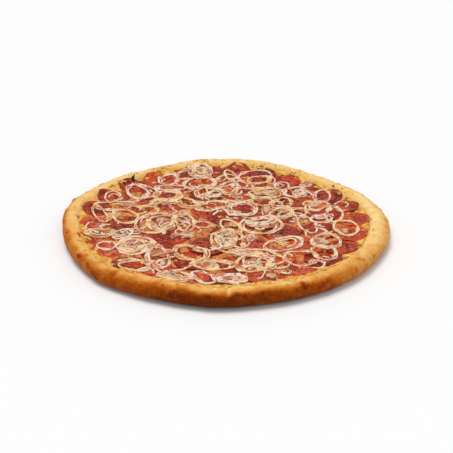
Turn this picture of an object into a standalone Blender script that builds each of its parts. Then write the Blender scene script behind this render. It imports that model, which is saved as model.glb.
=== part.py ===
"""A whole sausage pizza about 350 mm across: a baked crust with a puffed rim, a bed of melted cheese,
round sausage slices laid down one after another, and onion rings strewn over them.

The origin is the middle of the underside, +Z is up, and -Y is the side nearest to someone eating it.
"""

import math
import random

import bmesh
import bpy
import numpy as np
from mathutils import Matrix, Vector, noise
from mathutils.bvhtree import BVHTree

MM = 0.001

# The crust
PIZZA_RADIUS = 174 * MM
RIM_HEIGHT = 17.5 * MM
CREST_INSET = 12.5 * MM  # from the outline in to the highest line of the rim
INNER_SLOPE = 8.5 * MM  # from that line in to the foot of the rim
BASE_THICKNESS = 5 * MM
FOOT_INSET = 8 * MM  # the underside touches the table this far in from the outline
RIM_SEGMENTS = 72
OUTER_TURNS = (-52, -24, 2, 27, 50, 71, 90)  # degrees round the rim, from below up to the crest
INNER_TURNS = (35, 62, 80, 90)  # degrees down the slope, from the crest to its foot
RIM_SQUARENESS = 0.85  # below 1 the rim's side is fuller than a half circle
RIM_UNEVEN = 0.9 * MM  # bumps of the baked rim
RIM_BUMP_SIZE = 16 * MM
HEIGHT_UNEVEN = 1.3 * MM  # how far the crest rises and falls round the pizza
HEIGHT_WAVE = 55 * MM

# Where the hand-stretched outline leaves the circle: (direction in degrees, spread in degrees, distance)
OUTLINE_BUMPS = (
    (43, 25, -14 * MM),
    (123, 15, -6.5 * MM),
    (172, 14, 5 * MM),
    (227, 10, 3 * MM),
    (267, 9, 2.5 * MM),
    (355, 22, 2.5 * MM),
)
# Where the rim is wider or narrower than elsewhere, in the same form
WIDTH_BUMPS = (
    (350, 25, 3 * MM),
    (45, 25, -2 * MM),
    (180, 30, -1.5 * MM),
    (265, 30, 1.5 * MM),
)

# The cheese
CHEESE_TOP = 8.6 * MM
CHEESE_EDGE_TOP = 12.5 * MM  # it climbs the inner slope of the rim to about here
CHEESE_LIP = 0.8 * MM  # its thickness at that edge
CHEESE_BANK = 0.1  # the bank up to the rim begins this share of the way from the edge to the middle
CHEESE_BANK_RISE = 1.2 * MM  # how far it has risen there
CHEESE_UNEVEN = 0.5 * MM
CHEESE_CLEARANCE = 0.8 * MM  # level distance from the rim's slope

# The sausage slices, in rings from the rim inwards: (slices, middle's distance in from the outline,
# radius); those nearer to the middle are cut from the thick of the sausage
SLICE_RINGS = (
    (25, 36.5 * MM, 17.2 * MM),
    (16, 70 * MM, 18.7 * MM),
    (10, 104 * MM, 19.4 * MM),
    (5, 138 * MM, 19.2 * MM),
    (1, PIZZA_RADIUS, 19 * MM),
)
FIRST_SLICE_AT = 84.4  # degrees, where the outermost ring starts
# Where the outermost slices lie nearer to the outline or farther from it, in the outline's form
SLICE_BUMPS = (
    (200, 32, 4 * MM),
    (145, 15, 2 * MM),
    (355, 16, -4.5 * MM),
)
SLICE_THICKNESS = 1.9 * MM
SLICE_DISH = 0.3 * MM  # how far the middle of the top sags
SLICE_SIDES = 12
SLICE_SECTION = ((0.95, 0.0), (1.0, 0.45), (0.93, 1.0))  # (share of radius, share of thickness)
SLICE_SPREAD = 0.9 * MM  # of the radius
SLICE_JITTER = 2.2 * MM  # of the place
SLICE_LOBE = 0.012  # how far a slice is from round, as a share of its radius
STEEPEST_SLICE = 0.18  # rise over run

# The onion rings
ONION_THICKNESS = 1.7 * MM
ONION_STEP = 10 * MM  # length of a straight piece of a ring
FEWEST_STEPS = 7
NEST_STEP = 5.5 * MM  # a ring is this much smaller than the one it lies in
ONION_WAVE = 0.09  # how far a ring leaves its oval, as a share of its size
ONION_LIFT = 0.5 * MM  # the most that a ring stands off what it lies on
ONION_MARGIN = 0.6 * MM  # a ring also clears what is this close beside it
RING_TOUCH = 1.5 * MM  # the middle lines of two rings that touch are at most this far apart
RING_MEETING = 0.35  # two rings meet where these are closer than this share of their joint width
RING_STAGGER = 0.5  # where two rings are fused, one is at most this share of a thickness higher

# Onion rings as they lie, in millimetres: middle x, middle y, half length, half width, turn in degrees,
# width of the band, and how many rings of the same slice lie inside one another
ONION_RINGS = (
    # middle
    (17, 21, 18, 16, 30, 5.6, 1),
    (-16, 33, 17, 12, 15, 5.0, 1),
    (5, -22, 20, 8, 115, 2.6, 1),
    (37, -20, 22, 19, 10, 2.8, 3),
    (-44, 40, 18, 10, 130, 2.6, 1),
    (-40, -14, 20, 10, 100, 2.8, 1),
    # back left
    (-130, 54, 14, 9, 95, 2.4, 1),
    (-130, 30, 22, 11, 8, 3.2, 1),
    (-104, 72, 20, 11, 110, 3.6, 1),
    (-138, 8, 22, 6, 115, 2.2, 1),
    (-70, 113, 14, 11, 80, 3.0, 1),
    (-67, 59, 18, 14, 90, 4.2, 1),
    (-64, 90, 18, 8, -5, 2.8, 1),
    (-32, 135, 17, 14, 90, 3.6, 2),
    (-27, 99, 21, 17, 60, 2.4, 1),
    (-18, 65, 16, 13, 50, 3.2, 2),
    (-98, 40, 15, 10, 60, 2.8, 1),
    (-110, 4, 18, 13, 110, 2.6, 1),
    # front left
    (-66, -15, 24, 21, 90, 3.6, 2),
    (-112, -34, 13, 8, 60, 2.6, 1),
    (-131, -42, 15, 9, 15, 3.6, 1),
    (-92, -66, 20, 18, 60, 3.4, 2),
    (-128, -70, 10, 9, 20, 2.6, 1),
    (-89, -113, 16, 11, 30, 2.6, 1),
    (-66, -92, 23, 10, 105, 3.0, 1),
    (-50, -108, 20, 15, 20, 2.6, 1),
    (-35, -84, 17, 14, 140, 2.6, 1),
    (-47, -137, 17, 9, -8, 3.8, 1),
    (-20, -134, 15, 9, 120, 3.0, 1),
    (-16, -108, 21, 9, 0, 2.8, 1),
    # front right
    (2, -56, 25, 17, 95, 3.2, 2),
    (6, -139, 14, 9, 0, 4.2, 1),
    (27, -104, 18, 16, 30, 4.4, 1),
    (28, -84, 22, 8, -8, 2.6, 1),
    (59, -63, 21, 13, 30, 3.0, 1),
    (103, -58, 18, 14, 70, 3.6, 1),
    (74, -95, 17, 16, 60, 3.0, 1),
    (98, -84, 17, 12, 110, 2.4, 1),
    (50, -99, 10, 8, 70, 2.6, 1),
    (130, -31, 18, 13, 95, 2.6, 1),
    (88, -22, 19, 9, 100, 2.4, 1),
    (104, -4, 13, 9, 30, 3.2, 1),
    # back right
    (36, 117, 21, 19, 20, 2.6, 1),
    (40, 108, 14, 10, 5, 2.4, 1),
    (9, 122, 18, 7, 110, 2.2, 1),
    (12, 90, 17, 10, 80, 2.6, 1),
    (47, 72, 20, 13, 5, 3.2, 2),
    (45, 48, 15, 10, 10, 2.8, 1),
    (68, 92, 13, 8, 80, 2.6, 1),
    (86, 68, 15, 11, 60, 3.8, 1),
    (112, 66, 16, 9, 80, 2.4, 1),
    (70, 36, 17, 10, 70, 2.6, 1),
    (60, 10, 13, 10, 20, 2.4, 1),
    (85, 13, 13, 8, 85, 2.6, 1),
    (106, 34, 15, 9, 30, 2.4, 1),
    (119, 6, 18, 9, 75, 3.2, 1),
)

# Laying things on one another
GAP = 0.35 * MM  # between solids that rest on each other
CELL = 1.0 * MM  # of the relief that things are laid on
SAMPLE_STEP = 1.5 * MM  # along a ring
FIRST_TILT = 0.1
LAST_TILT = 0.002
LIFT_OF_LAID = 4  # how much less readily a ring is lifted than the one laid after it


def clear_scene():
    for obj in list(bpy.data.objects):
        bpy.data.objects.remove(obj)


def material(name, colour, roughness):
    made = bpy.data.materials.new(name)
    made.use_nodes = True
    surface = made.node_tree.nodes["Principled BSDF"]
    surface.inputs["Base Color"].default_value = (*colour, 1)
    surface.inputs["Roughness"].default_value = roughness
    surface.inputs["Metallic"].default_value = 0
    return made


def bump_sum(bumps, angle):
    """What the bumps add in this direction, each a smooth hill or dip round its own direction."""
    total = 0.0
    for direction, spread, height in bumps:
        off = (math.degrees(angle) - direction + 180) % 360 - 180
        total += height * math.exp(-((off / spread) ** 2))
    return total


def outline_radius(angle):
    return PIZZA_RADIUS + bump_sum(OUTLINE_BUMPS, angle)


def outline_middle():
    """The middle of the outline's bounding box, which becomes the origin."""
    turns = [math.radians(degree) for degree in range(360)]
    across = [outline_radius(a) * math.cos(a) for a in turns]
    along = [outline_radius(a) * math.sin(a) for a in turns]
    return (min(across) + max(across)) / 2, (min(along) + max(along)) / 2


MIDDLE_X, MIDDLE_Y = outline_middle()


def on_plan(angle, inset, height):
    """The point at this distance in from the outline."""
    radius = outline_radius(angle) - inset
    return Vector(
        (radius * math.cos(angle) - MIDDLE_X, radius * math.sin(angle) - MIDDLE_Y, height)
    )


def uneven(point, size, seed):
    """A smooth random value from about -1 to 1 that varies over this distance."""
    return noise.noise(point / size + Vector((seed, 2 * seed, 3 * seed)))


def skin(rows, tip, name):
    """A closed mesh through rings of points. The lowest ring is filled flat, and the highest too,
    unless it is drawn to a tip."""
    mesh = bmesh.new()
    rings = [[mesh.verts.new(point) for point in row] for row in rows]
    for low, high in zip(rings, rings[1:]):
        for i in range(len(low)):
            after = (i + 1) % len(low)
            mesh.faces.new((low[i], low[after], high[after], high[i]))
    mesh.faces.new(rings[0])
    if tip is None:
        mesh.faces.new(rings[-1])
    else:
        top = mesh.verts.new(tip)
        for i in range(len(rings[-1])):
            mesh.faces.new((rings[-1][i - 1], rings[-1][i], top))
    bmesh.ops.recalc_face_normals(mesh, faces=mesh.faces)
    data = bpy.data.meshes.new(name)
    mesh.to_mesh(data)
    mesh.free()
    return data


def add_object(name, data, finish):
    obj = bpy.data.objects.new(name, data)
    bpy.context.scene.collection.objects.link(obj)
    data.materials.append(finish)
    data.shade_smooth()
    data.set_sharp_from_angle(angle=math.radians(40))
    return obj


def rim_section(angle):
    """(inset, height) of the crust from its foot, out and over the rim, and down its inner slope."""
    here = Vector((math.cos(angle), math.sin(angle), 0)) * PIZZA_RADIUS
    crest = RIM_HEIGHT + HEIGHT_UNEVEN * uneven(here, HEIGHT_WAVE, 4)
    width = CREST_INSET + bump_sum(WIDTH_BUMPS, angle)
    section = [(FOOT_INSET, 0.0)]
    for degrees in OUTER_TURNS:
        turn = math.radians(degrees)
        section.append((width * (1 - math.cos(turn) ** RIM_SQUARENESS), crest / 2 * (1 + math.sin(turn))))
    drop = crest - BASE_THICKNESS
    for degrees in INNER_TURNS:
        turn = math.radians(degrees)
        section.append((width + INNER_SLOPE * math.sin(turn), BASE_THICKNESS + drop * math.cos(turn)))
    return section


def crust_column(angle):
    """The points of the crust's section in this direction, with the bumps of the baked rim."""
    section = rim_section(angle)
    column = [on_plan(angle, inset, height) for inset, height in section]
    outwards = Vector((math.cos(angle), math.sin(angle), 0.6))
    for point in column[1:-2]:
        point += outwards * RIM_UNEVEN * uneven(point, RIM_BUMP_SIZE, 9)
    return column


def crust_columns():
    return [crust_column(2 * math.pi * step / RIM_SEGMENTS) for step in range(RIM_SEGMENTS)]


def make_crust(finish):
    return add_object("crust", skin(list(zip(*crust_columns())), None, "crust"), finish)


def slope_point(column, height):
    """The point at this height beside the inner slope of the rim, clear of it."""
    slope = column[-1 - len(INNER_TURNS) :]
    for upper, lower in zip(slope, slope[1:]):
        if lower.z <= height <= upper.z:
            point = upper.lerp(lower, (upper.z - height) / (upper.z - lower.z))
            return point + Vector((-point.x, -point.y, 0)).normalized() * CHEESE_CLEARANCE
    raise ValueError("the height is off the slope")


def make_cheese(finish):
    """The cheese fills the crust and laps up the rim's inner slope, thinning to a lip."""
    middle = Vector((0, 0, CHEESE_TOP))
    columns = []
    for column in crust_columns():
        edge = CHEESE_EDGE_TOP + 2 * CHEESE_UNEVEN * uneven(column[-1], 24 * MM, 31)
        foot = slope_point(column, BASE_THICKNESS + GAP)
        lip = slope_point(column, edge - CHEESE_LIP)
        top = slope_point(column, edge)
        bank = top.lerp(middle, CHEESE_BANK)
        bank.z = CHEESE_TOP + CHEESE_BANK_RISE
        bed = top.lerp(middle, 0.4)
        bed.z = CHEESE_TOP + CHEESE_UNEVEN * uneven(bed, 30 * MM, 17)
        columns.append([foot, lip, top, bank, bed])
    return add_object("cheese", skin(list(zip(*columns)), middle, "cheese"), finish)


class Relief:
    """The height of everything laid so far, on a square grid over the plan."""

    def __init__(self):
        self.cells = int(2 * (PIZZA_RADIUS + 10 * MM) / CELL)
        self.low = -CELL * self.cells / 2
        self.height = np.zeros((self.cells, self.cells))

    def cell(self, value):
        return int(min(max((value - self.low) / CELL, 0), self.cells - 1))

    def centre(self, index):
        return self.low + (index + 0.5) * CELL

    def lay(self, obj):
        """Takes up the top of this object, which counts one cell wider than it is."""
        bpy.context.view_layer.update()
        corners = [obj.matrix_world @ v.co for v in obj.data.vertices]
        tree = BVHTree.FromPolygons(corners, [tuple(p.vertices) for p in obj.data.polygons])
        xs = [corner.x for corner in corners]
        ys = [corner.y for corner in corners]
        for i in range(self.cell(min(xs)), self.cell(max(xs)) + 1):
            for j in range(self.cell(min(ys)), self.cell(max(ys)) + 1):
                above = Vector((self.centre(i), self.centre(j), 1))
                hit = tree.ray_cast(above, Vector((0, 0, -1)))[0]
                if hit is not None:
                    near = self.height[max(i - 1, 0) : i + 2, max(j - 1, 0) : j + 2]
                    np.maximum(near, hit.z, out=near)

    def under_disc(self, x, y, radius):
        """Offsets from the middle, and heights, of the cells under a disc."""
        i = np.arange(self.cell(x - radius - CELL), self.cell(x + radius + CELL) + 1)
        j = np.arange(self.cell(y - radius - CELL), self.cell(y + radius + CELL) + 1)
        dx, dy = np.meshgrid(self.centre(i) - x, self.centre(j) - y, indexing="ij")
        inside = dx**2 + dy**2 <= radius**2
        heights = self.height[i[0] : i[-1] + 1, j[0] : j[-1] + 1]
        return dx[inside], dy[inside], heights[inside]

    def under_strip(self, start, end, half_width):
        """The greatest height under a strip from start to end."""
        run = end - start
        across = Vector((-run.y, run.x)).normalized() * half_width
        steps = max(2, math.ceil(run.length / CELL))
        top = 0.0
        for step in range(steps + 1):
            for side in (-1, 0, 1):
                spot = start + run * (step / steps) + across * side
                top = max(top, self.height[self.cell(spot.x), self.cell(spot.y)])
        return top


def rest_plane(dx, dy, heights):
    """(height at the middle, rise along x, rise along y) of a rigid disc at rest on the cells: the
    lowest plane above all of them, found by trying ever smaller tilts."""
    best = (float(heights.max()), 0.0, 0.0)
    step = FIRST_TILT
    while step > LAST_TILT:
        better = best
        for turn in range(8):
            rise_x = best[1] + step * math.cos(turn * math.pi / 4)
            rise_y = best[2] + step * math.sin(turn * math.pi / 4)
            if math.hypot(rise_x, rise_y) > STEEPEST_SLICE:
                continue
            level = float((heights - rise_x * dx - rise_y * dy).max())
            if level < better[0]:
                better = (level, rise_x, rise_y)
        if better is best:
            step /= 2
        best = better
    return best


def slice_places(draw):
    """(x, y, radius) of each sausage slice, ring by ring from the rim inwards."""
    start = math.radians(FIRST_SLICE_AT)
    outermost = SLICE_RINGS[0][0]
    for count, inset, size in SLICE_RINGS:
        for step in range(count):
            angle = start + 2 * math.pi * step / count
            angle += draw.uniform(-1, 1) * SLICE_JITTER / max(PIZZA_RADIUS - inset, size)
            away = inset + draw.uniform(-1, 1) * SLICE_JITTER
            if count == outermost:
                away -= bump_sum(SLICE_BUMPS, angle)
            place = on_plan(angle, min(away, outline_radius(angle)), 0)
            yield place.x, place.y, size + draw.uniform(-1, 1) * SLICE_SPREAD
        start += math.pi / count + draw.uniform(-0.1, 0.1)


def slice_mesh(name, radius, draw):
    """A round slice cut a little on the slant, with a bulging side and a top dished by the heat."""
    slant = draw.uniform(0.02, 0.06)
    lean, lobe = draw.uniform(0, math.pi), draw.uniform(0, 2 * math.pi)
    rows = []
    for share, up in SLICE_SECTION:
        row = []
        for side in range(SLICE_SIDES):
            angle = 2 * math.pi * side / SLICE_SIDES
            reach = 1 - slant + slant * math.cos(2 * (angle - lean)) + SLICE_LOBE * math.cos(3 * angle + lobe)
            reach *= radius * share
            row.append((reach * math.cos(angle), reach * math.sin(angle), up * SLICE_THICKNESS))
        rows.append(row)
    return skin(rows, (0, 0, SLICE_THICKNESS - SLICE_DISH), name)


def make_slices(relief, finish):
    """Each slice is laid on what is there already and comes to rest on it, so some lap over others."""
    draw = random.Random(7)
    for number, (x, y, radius) in enumerate(slice_places(draw), 1):
        level, rise_x, rise_y = rest_plane(*relief.under_disc(x, y, radius + GAP))
        name = f"sausage_{number:02d}"
        obj = add_object(name, slice_mesh(name, radius, draw), finish)
        up = Vector((-rise_x, -rise_y, 1))
        obj.location = (x, y, level + GAP)
        obj.rotation_euler = Vector((0, 0, 1)).rotation_difference(up).to_euler()
        relief.lay(obj)


def ring_outlines(draw):
    """(points along the middle of the band, its width) of every onion ring on the plan."""
    for x, y, half_length, half_width, turn, band, nested in ONION_RINGS:
        middle = Vector((x * MM - MIDDLE_X, y * MM - MIDDLE_Y))
        long, short, width = half_length * MM, half_width * MM, band * MM
        slip = draw.uniform(0, 2 * math.pi)
        for _ in range(nested):
            yield ring_outline(middle, long, short, math.radians(turn), draw), width
            smaller = NEST_STEP * draw.uniform(0.9, 1.15)
            long, short = long - smaller, short - smaller
            # a loose inner ring slips until it touches the one round it
            middle = middle + Vector((math.cos(slip), math.sin(slip))) * (smaller - width / 2)


def ring_outline(middle, long, short, turn, draw):
    """An oval that waves in and out a little."""
    waves = [(order, draw.uniform(0, 2 * math.pi)) for order in (2, 3, 4)]
    around = 2 * math.pi * math.sqrt((long**2 + short**2) / 2)
    count = max(FEWEST_STEPS, round(around / ONION_STEP))
    points = []
    for step in range(count):
        angle = 2 * math.pi * step / count
        wave = 1 + sum(ONION_WAVE / order * math.cos(order * angle + phase) for order, phase in waves)
        spot = Vector((long * wave * math.cos(angle), short * wave * math.sin(angle)))
        points.append(middle + Matrix.Rotation(turn, 2) @ spot)
    return points


def ring_samples(points):
    """(place on the plan, corner before it, corner after it, share of the way) along a ring."""
    for i in range(len(points)):
        after = (i + 1) % len(points)
        steps = max(1, round((points[after] - points[i]).length / SAMPLE_STEP))
        for step in range(steps):
            share = step / steps
            yield points[i].lerp(points[after], share), i, after, share


def nearest(places, others):
    """(distance, way) from one set of places to the nearest of another set."""
    away = others[None, :] - places[:, None]
    apart = np.linalg.norm(away, axis=2)
    spot = np.unravel_index(apart.argmin(), apart.shape)
    return apart[spot], away[spot]


def draw_together(rings):
    """Slides rings that lie alone towards the others, until all of them touch and make one net. Returns
    them in the order in which they join it, so each touches one before it."""
    loose = [(ring, np.array([sample[0] for sample in ring_samples(ring[0])])) for ring in rings]
    first, net = loose.pop(0)
    joined = [first]
    while loose:
        gaps = [nearest(places, net) for _, places in loose]
        closest = min(range(len(loose)), key=lambda i: gaps[i][0])
        (ring, places), (gap, way) = loose.pop(closest), gaps[closest]
        slide = Vector(way) * max(0, 1 - RING_TOUCH / max(gap, RING_TOUCH))
        for point in ring[0]:
            point += slide
        joined.append(ring)
        net = np.concatenate([net, places + np.array(slide)])
    return joined


class Band:
    """One onion ring: a closed row of corners on the plan, each with the height of its underside."""

    def __init__(self, points, width, lift, relief):
        self.points = points
        self.width = width
        count = len(points)
        reach = width / 2 + ONION_MARGIN
        tops = [relief.under_strip(points[i], points[(i + 1) % count], reach) for i in range(count)]
        self.heights = [max(tops[i - 1], tops[i]) + GAP + lift for i in range(count)]

    def level(self, before, after, share):
        return self.heights[before] * (1 - share) + self.heights[after] * share


def meetings(band, laid):
    """(place on the band, the other band, place on it) wherever the band meets one already laid."""
    taken = list(ring_samples(band.points))
    places = np.array([sample[0] for sample in taken])
    for other in laid:
        theirs = list(ring_samples(other.points))
        apart = np.linalg.norm(
            np.array([sample[0] for sample in theirs])[None, :] - places[:, None], axis=2
        )
        near = RING_MEETING * (band.width + other.width)
        for mine, its in zip(*np.nonzero(apart < near)):
            yield taken[mine][1:], other, theirs[its][1:]


def join_bands(bands):
    """Fuses each band to those before it where they meet at nearly one height. The lower is lifted."""

    def effort(meeting):
        here, other, there = meeting
        over = band.level(*here) - other.level(*there)
        return over * LIFT_OF_LAID if over > 0 else -over

    for number, band in enumerate(bands[1:], 1):
        here, other, there = min(meetings(band, bands[:number]), key=effort)
        over = band.level(*here) - other.level(*there)
        lift = abs(over) - RING_STAGGER * ONION_THICKNESS
        lower, corners = (other, there[:2]) if over > 0 else (band, here[:2])
        if lift > 0:
            for corner in corners:
                lower.heights[corner] += lift


def band_mesh(name, band):
    """A flat strip of onion of even thickness along the band's corners."""
    count = len(band.points)
    rows = [[], [], [], []]
    for i, point in enumerate(band.points):
        before, after = band.points[i - 1], band.points[(i + 1) % count]
        across = Vector((after.y - before.y, before.x - after.x)).normalized() * (band.width / 2)
        low = band.heights[i]
        high = low + ONION_THICKNESS
        for row, side, height in zip(rows, (-1, 1, 1, -1), (low, low, high, high)):
            row.append((point.x + across.x * side, point.y + across.y * side, height))
    mesh = bmesh.new()
    rings = [[mesh.verts.new(corner) for corner in row] for row in rows]
    for this, other in zip(rings, rings[1:] + rings[:1]):
        for i in range(count):
            after = (i + 1) % count
            mesh.faces.new((this[i], this[after], other[after], other[i]))
    bmesh.ops.recalc_face_normals(mesh, faces=mesh.faces)
    data = bpy.data.meshes.new(name)
    mesh.to_mesh(data)
    mesh.free()
    return data


def union(meshes):
    """The meshes joined into one solid where they overlap."""
    others = bpy.data.collections.new("rings")
    bpy.context.scene.collection.children.link(others)
    for data in meshes[1:]:
        others.objects.link(bpy.data.objects.new(data.name, data))
    first = bpy.data.objects.new(meshes[0].name, meshes[0])
    bpy.context.scene.collection.objects.link(first)
    join = first.modifiers.new("join", "BOOLEAN")
    join.operation = "UNION"
    join.operand_type = "COLLECTION"
    join.collection = others
    join.solver = "MANIFOLD"
    graph = bpy.context.evaluated_depsgraph_get()
    joined = bpy.data.meshes.new_from_object(first.evaluated_get(graph))
    for helper in [first, *others.objects]:
        bpy.data.objects.remove(helper)
    bpy.data.collections.remove(others)
    return joined


def make_onions(relief, finish):
    """All the rings, fused where they cross."""
    draw = random.Random(21)
    rings = draw_together(list(ring_outlines(draw)))
    bands = [Band(points, width, draw.uniform(0, ONION_LIFT), relief) for points, width in rings]
    join_bands(bands)
    meshes = [band_mesh(f"ring_{number}", band) for number, band in enumerate(bands)]
    return add_object("onion_rings", union(meshes), finish)


def main():
    clear_scene()
    crust = make_crust(material("crust", (0.62, 0.36, 0.13), 0.7))
    cheese = make_cheese(material("cheese", (0.83, 0.66, 0.33), 0.4))
    relief = Relief()
    relief.lay(crust)
    relief.lay(cheese)
    make_slices(relief, material("sausage", (0.48, 0.11, 0.07), 0.35))
    make_onions(relief, material("onion", (0.85, 0.72, 0.6), 0.35))


main()
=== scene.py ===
"""The look of a sausage pizza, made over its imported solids: the baked crust, the melted cheese, the sausage
slices, the onions and the herbs strewn over them, on a pale floor in soft light.

Lengths are in metres, angles in radians unless a name or comment says degrees.
"""

import math
import random

import bpy
import numpy as np
from mathutils import Matrix, Vector, noise


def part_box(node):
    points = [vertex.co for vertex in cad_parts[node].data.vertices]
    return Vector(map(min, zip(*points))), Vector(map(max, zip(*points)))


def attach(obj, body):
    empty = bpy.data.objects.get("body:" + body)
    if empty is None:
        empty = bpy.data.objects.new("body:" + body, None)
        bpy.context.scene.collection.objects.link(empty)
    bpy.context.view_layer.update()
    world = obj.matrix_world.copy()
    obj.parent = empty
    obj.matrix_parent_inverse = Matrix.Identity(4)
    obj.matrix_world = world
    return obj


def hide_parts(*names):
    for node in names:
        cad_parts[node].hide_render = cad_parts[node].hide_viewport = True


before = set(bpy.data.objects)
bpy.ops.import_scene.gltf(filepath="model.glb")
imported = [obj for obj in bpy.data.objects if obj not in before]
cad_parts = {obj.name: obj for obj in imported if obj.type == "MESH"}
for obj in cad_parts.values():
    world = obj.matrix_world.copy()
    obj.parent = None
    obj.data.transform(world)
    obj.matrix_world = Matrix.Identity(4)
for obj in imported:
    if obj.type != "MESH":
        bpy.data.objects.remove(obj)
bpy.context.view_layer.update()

MM = 0.001

# The crust, as the solids have it
PIZZA_RADIUS = 174 * MM
RIM_HEIGHT = 17.5 * MM
CREST_INSET = 12.5 * MM
INNER_SLOPE = 8.5 * MM
BASE_THICKNESS = 5 * MM
FOOT_INSET = 8 * MM
RIM_SQUARENESS = 0.85
RIM_UNEVEN = 0.9 * MM
RIM_BUMP_SIZE = 16 * MM
HEIGHT_UNEVEN = 1.3 * MM
HEIGHT_WAVE = 55 * MM
# (direction in degrees, spread in degrees, distance)
OUTLINE_BUMPS = (
    (43, 25, -14 * MM), (123, 15, -6.5 * MM), (172, 14, 5 * MM), (227, 10, 3 * MM),
    (267, 9, 2.5 * MM), (355, 22, 2.5 * MM),
)
WIDTH_BUMPS = (
    (350, 25, 3 * MM), (45, 25, -2 * MM), (180, 30, -1.5 * MM), (265, 30, 1.5 * MM),
)

# The crust's fine relief
TURNS = 720  # steps round the pizza
OUTER_FIRST, OUTER_LAST, OUTER_STEP = -52, 90, 4  # degrees round the rim's section
INNER_STEPS = 14
CRUST_LUMPS = 0.5 * MM
CRUST_LUMP_SIZE = 9 * MM
CRUST_GRAIN = 0.1 * MM
CRUST_GRAIN_SIZE = 2.2 * MM
FLAT_RINGS = 20  # rings of the mesh over the underside
BLISTERS = 150
# Where on the rim's section its relief and colour change, in degrees: 0 is its widest place, 90 its crest
LUMPS_START, LUMPS_END = (-75, -50), (150, 175)
SIDE_BAKED_AND_SHADED = (93, 30)  # from the crest's baking to the side's darker colour, which is partly baking and partly painted shade
FOOT_BAKED_AND_SHADED = (40, -30)  # still darker towards the foot: partly baking, partly painted shade
INSIDE_PALE = (95, 140)
INSIDE_GREASY = (84, 120)
# Creases across the rim: (direction and width in degrees, depth, first and last degree of the section)
CREASES = (
    (271, 0.6, 0.6 * MM, 40, 110),
    (358, 0.8, 0.7 * MM, 85, 150),
    (354, 0.7, 0.6 * MM, 90, 150),
    (2, 0.7, 0.6 * MM, 85, 150),
    (6, 0.8, 0.5 * MM, 90, 150),
    (97, 0.9, 0.5 * MM, 30, 120),
)

# How dark the crust is, from 0 to 1, on the crest and down the outer side, by direction: baking on the crest,
# baking and painted shade down the outer side
CREST_BAKE = 0.22
CREST_BAKE_BUMPS = (
    (200, 28, 0.14), (235, 18, 0.2), (262, 12, 0.1), (310, 28, 0.13),
    (0, 30, -0.08), (145, 30, -0.06), (120, 5, 0.3), (101, 4, 0.25),
    (75, 40, -0.03),
)
# Painted shade: the outer side is coloured darker, partly for its baking and partly for the shade it stands
# in
SIDE_BAKE_AND_SHADE = 0.62
SIDE_BAKE_AND_SHADE_BUMPS = (
    (185, 25, 0.05), (266, 50, 0.3), (228, 22, -0.06), (326, 30, -0.16),
    (262, 9, 0.08), (297, 9, 0.08), (345, 30, -0.1),
)

# The cheese
CHEESE_TOP = 8.6 * MM
CHEESE_EDGE_TOP = 12.5 * MM
CHEESE_ROWS = 118
CHEESE_TURNS = 540
CHEESE_BUMPS, CHEESE_BUMP_SIZE = 0.3 * MM, 3.5 * MM
CHEESE_SWELL = 2.0 * MM  # how far it wells up between slices
# How much farther its lip has crept up the rim, by direction
LIP_BUMPS = (
    (270, 42, 4.2 * MM), (205, 30, 1.8 * MM), (90, 180, 1.2 * MM),
)

# The sausage slices
SLICES = 57
SLICE_THICKNESS = 1.6 * MM  # a baked slice has shrunk a little from its solid's
SLICE_GAP = 0.15 * MM
SLICE_SPREAD = 1.06  # a baked slice lies a little wider than its solid
SLICE_STIFFNESS = 2.5 * MM  # a slice bridges dips narrower than about twice this
SLICE_EDGE = 0.5  # thickness at its edge, as a share of that in its middle
SLICE_BUMPS, SLICE_BUMP_SIZE = 0.16 * MM, 2.6 * MM
SLICE_ROWS = 16
INNERMOST = 0.03  # its first row of points, as a share of its radius
SLICE_TURNS = 60

# The onions
ONION_STEP = 10 * MM
FEWEST_STEPS = 7
NEST_STEP = 5.5 * MM
ONION_WAVE = 0.09
RING_TOUCH = 1.5 * MM
SAMPLE_STEP = 1.5 * MM
PATH_STEP = 0.9 * MM
WAVE_STEP = PATH_STEP / (11 * MM)  # a band's width and lean change over about 11 mm
BAND_SIDES = 10
ONION_STIFFNESS = 5  # path steps that a band bridges each way
BAND_THICKNESS = 0.85 * MM  # a baked band is thinner than it was cut
BAND_FLARE = 0.35 * MM  # how far its edge spreads where it touches what is under it
CLEAR_WIDTH = 3 * MM  # a band this broad is clear in its middle

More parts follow.
